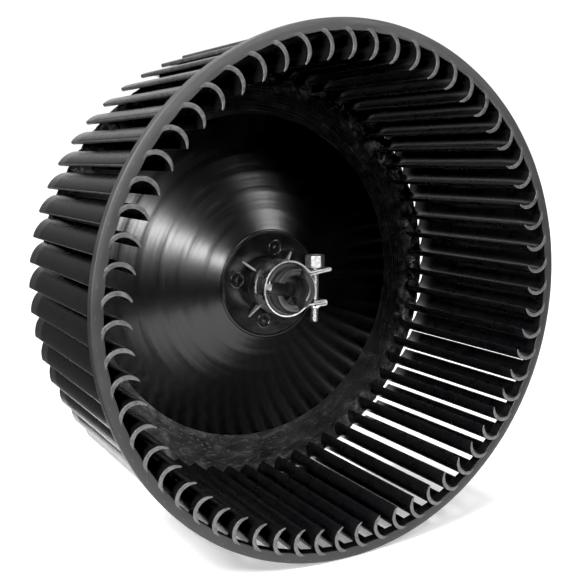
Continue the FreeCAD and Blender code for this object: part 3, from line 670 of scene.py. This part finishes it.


# screw: chamfered hex head with a dished top, plain neck, rolled helical thread, bevelled tip
def screw_mesh():
    SXm, SYm, ZB, ZT, ZTIP = 15.5, 12.1, 7.9, 13.1, -16.3
    AF = 7.4 / 2.0
    vs, fs = [], []
    n = 96
    # head rings: (z, kind) hexagon blended with the chamfer circle
    def hexr(a):
        t = ((a - math.radians(36)) % (math.pi / 3)) - math.pi / 6
        c = AF / math.cos(t)
        return min(c, AF / math.cos(math.pi / 6) - 0.10 * max(0.0, 1 - (math.pi / 6 - abs(t)) / 0.06))
    rings = []
    cham = lambda z: AF * 1.0 + (ZT - z) / math.tan(math.radians(32))   # cone that cuts the corners
    for z in (ZB, ZB + 0.12, ZB + 0.3):
        rings.append([((hexr(2 * math.pi * k / n) - (0.12 if z == ZB else 0.0)), z) for k in range(n)])
    for z in [ZB + 0.3 + (ZT - 0.9 - ZB - 0.3) * q / 4.0 for q in range(1, 5)] + [ZT - 0.75, ZT - 0.6, ZT - 0.45, ZT - 0.3, ZT - 0.15, ZT - 0.06]:
        rings.append([(min(hexr(2 * math.pi * k / n), cham(z)), z) for k in range(n)])
    rings.append([(min(hexr(2 * math.pi * k / n), AF - 0.16), ZT) for k in range(n)])
    rings.append([(AF - 0.75, ZT) for k in range(n)])
    rings.append([(AF - 1.1, ZT - 0.22) for k in range(n)])
    rings.append([(0.6, ZT - 0.3) for k in range(n)])
    for ring_ in rings:
        for k in range(n):
            a = 2 * math.pi * k / n
            r, z = ring_[k]
            vs.append((SXm + r * math.cos(a), SYm + r * math.sin(a), z))
    for i in range(len(rings) - 1):
        for k in range(n):
            k2 = (k + 1) % n
            fs.append((i * n + k, i * n + k2, (i + 1) * n + k2, (i + 1) * n + k))
    fs.append(tuple((len(rings) - 1) * n + k for k in range(n)))
    fs.append(tuple(reversed(range(n))))
    # shank
    P, RM, RN = 0.95, 1.75, 1.36
    base = len(vs)
    m = 48
    zs = []
    z = ZB + 0.2
    while z > ZTIP:
        zs.append(z)
        z -= P / 10
    zs.append(ZTIP)
    for z in zs:
        for k in range(m):
            a = 2 * math.pi * k / m
            ph = (z / P - a / (2 * math.pi)) % 1.0
            tooth = max(0.0, 1 - abs(ph - 0.5) / 0.5)
            tooth = min(1.0, max(0.0, (tooth - 0.12) / 0.72))
            r = RN + (RM - RN) * tooth
            if z > ZB - 1.6:
                q = min(1.0, max(0.0, (z - (ZB - 1.6)) / 0.8))
                r = r + (1.55 - r) * q
            r = min(r, 0.95 + (z - ZTIP) * 0.8)
            vs.append((SXm + r * math.cos(a), SYm + r * math.sin(a), z))
    for i in range(len(zs) - 1):
        for k in range(m):
            k2 = (k + 1) % m
            fs.append((base + i * m + k, base + i * m + k2, base + (i + 1) * m + k2, base + (i + 1) * m + k))
    fs.append(tuple(base + k for k in range(m)))
    fs.append(tuple(base + (len(zs) - 1) * m + k for k in reversed(range(m))))
    o = mesh_from("hex_screw", vs, fs, True, (M_screw,))
    fix_normals(o)
    sharp(o, 28)
    return swap(o, "clamp_screw", "screw")


screw_mesh()

# ------------------------------------------------------------------- stage
def grid_sheet(name, pts, x0, x1, mat):
    me = bpy.data.meshes.new(name)
    vs, fs = [], []
    for (y, z) in pts:
        vs += [(x0 + 0.214 * y, y, z), (x1 + 0.214 * y, y, z)]
    for i in range(len(pts) - 1):
        fs.append((2 * i, 2 * i + 1, 2 * i + 3, 2 * i + 2))
    me.from_pydata(vs, [], fs)
    for p in me.polygons:
        p.use_smooth = True
    o = bpy.data.objects.new(name, me)
    bpy.context.scene.collection.objects.link(o)
    o.data.materials.append(mat)
    return o

mf, nt, b = mat_new("floor_white")
b.inputs["Base Color"].default_value = (0.93, 0.93, 0.93, 1)
b.inputs["Roughness"].default_value = 0.85
b.inputs["Specular IOR Level"].default_value = 0.2
b.inputs["Emission Color"].default_value = (1, 1, 1, 1)
b.inputs["Emission Strength"].default_value = 0.26
FZ = lo0.z - 0.0003
prof = [(-0.26, FZ), (0.6, FZ), (2.0, FZ), (5.0, FZ), (14.0, FZ)]
floor = grid_sheet("floor_sheet", prof, -0.135, 12.0, mf)

# ------------------------------------------------------------------ lights
def area(name, loc, target, size, power, color=(1, 1, 1), size_y=None, roll=0.0):
    l = bpy.data.lights.new(name, "AREA")
    l.energy = power
    l.size = size
    l.color = color
    if size_y:
        l.shape = "RECTANGLE"
        l.size_y = size_y
    o = bpy.data.objects.new(name, l)
    bpy.context.scene.collection.objects.link(o)
    o.location = loc
    d = (Vector(target) - Vector(loc)).normalized()
    o.rotation_mode = "QUATERNION"
    o.rotation_quaternion = d.to_track_quat("-Z", "Y") @ Matrix.Rotation(math.radians(roll), 3, "Z").to_quaternion()
    return o

def sun(name, frm, power, deg):
    l = bpy.data.lights.new(name, "SUN")
    l.energy = power
    l.angle = math.radians(deg)
    o = bpy.data.objects.new(name, l)
    bpy.context.scene.collection.objects.link(o)
    o.location = frm
    o.rotation_mode = "QUATERNION"
    o.rotation_quaternion = (-Vector(frm)).normalized().to_track_quat("-Z", "Y")
    return o


sun("overhead", (-0.02, 0.05, 1.0), 2.15, 12)
sun("back_sky", (-0.15, 0.45, 1.0), 0.8, 55)
area("key_left", (-0.37, -0.27, 0.33), (-0.05, -0.03, 0.05), 0.14, 3.8, size_y=0.14)
area("front_soft", (-0.195, -1.05, 0.215), (-0.03, 0, 0.0), 0.16, 2.1, size_y=0.25, roll=25)
area("front_core", (-0.195, -1.04, 0.215), (-0.03, 0, 0.0), 0.085, 1.2, size_y=0.15, roll=25)
area("front_low", (-0.22, -1.05, 0.06), (-0.03, 0, 0.0), 0.18, 0.12, size_y=0.22, roll=25)
area("front_right", (0.70, -1.0, 0.62), (0.0, 0, 0.02), 0.52, 2.0, size_y=0.30, roll=0)
area("right_core", (0.695, -0.99, 0.615), (0.0, 0, 0.02), 0.28, 1.3, size_y=0.15, roll=0)
area("left_fill", (-0.75, -0.50, 0.12), (0, -0.04, 0.0), 0.3, 3.2, size_y=0.3)
area("left_low", (-0.60, -0.22, 0.14), (0.05, 0.0, 0.0), 0.2, 1.2, size_y=0.2)
area("top_front", (-0.10, -0.80, 0.75), (0, -0.04, 0.05), 0.3, 3.5, size_y=0.3)

w = bpy.data.worlds.new("studio")
bpy.context.scene.world = w
w.use_nodes = True
wt = w.node_tree
bg = wt.nodes["Background"]
wv = N(wt, "ShaderNodeTexCoord").outputs["Generated"]
ws = N(wt, "ShaderNodeSeparateXYZ")
wt.links.new(wv, ws.inputs[0])
wf = math_n(wt, "ADD", math_n(wt, "MULTIPLY", ws.outputs["Y"], 0.5), 0.5)
back = ramp(wt, wf, [(0.30, 0.02), (0.52, 0.10), (0.72, 1.0), (0.95, 1.05)])
wx = math_n(wt, "ADD", math_n(wt, "MULTIPLY", ws.outputs["X"], 0.5), 0.5)
side = ramp(wt, wx, [(0.05, 0.02), (0.36, 0.075), (0.50, 0.30), (0.58, 1.0)])
mx = N(wt, "ShaderNodeMix", data_type="RGBA", blend_type="MULTIPLY")
mx.inputs[0].default_value = 1.0
wt.links.new(back, mx.inputs[6])
wt.links.new(side, mx.inputs[7])
wt.links.new(mx.outputs[2], bg.inputs["Color"])
bg.inputs["Strength"].default_value = 1.0

# ------------------------------------------------------------------ camera
cam = bpy.data.cameras.new("cam")
co = bpy.data.objects.new("cam", cam)
bpy.context.scene.collection.objects.link(co)
rot = Matrix(((0.873029499959771, 0.10546871600741643, -0.47612586796323003),
              (-0.4876673991564253, 0.18881167893656745, -0.8523676775295754),
              (0.0, 0.9763331909962405, 0.21627182007626072)))
co.matrix_world = Matrix.Translation((-0.1828393, -0.30559085, 0.05326499)) @ rot.to_4x4()
cam.sensor_width = 36
cam.lens = 53.827
cam.shift_x = 0.02987
cam.shift_y = 0.10619
cam.clip_start = 0.01
cam.clip_end = 50
bpy.context.scene.camera = co
vs_ = bpy.context.scene.view_settings
vs_.view_transform = "Standard"
vs_.use_curve_mapping = True
vs_.curve_mapping.black_level = (0.003, 0.003, 0.003)
vs_.curve_mapping.update()
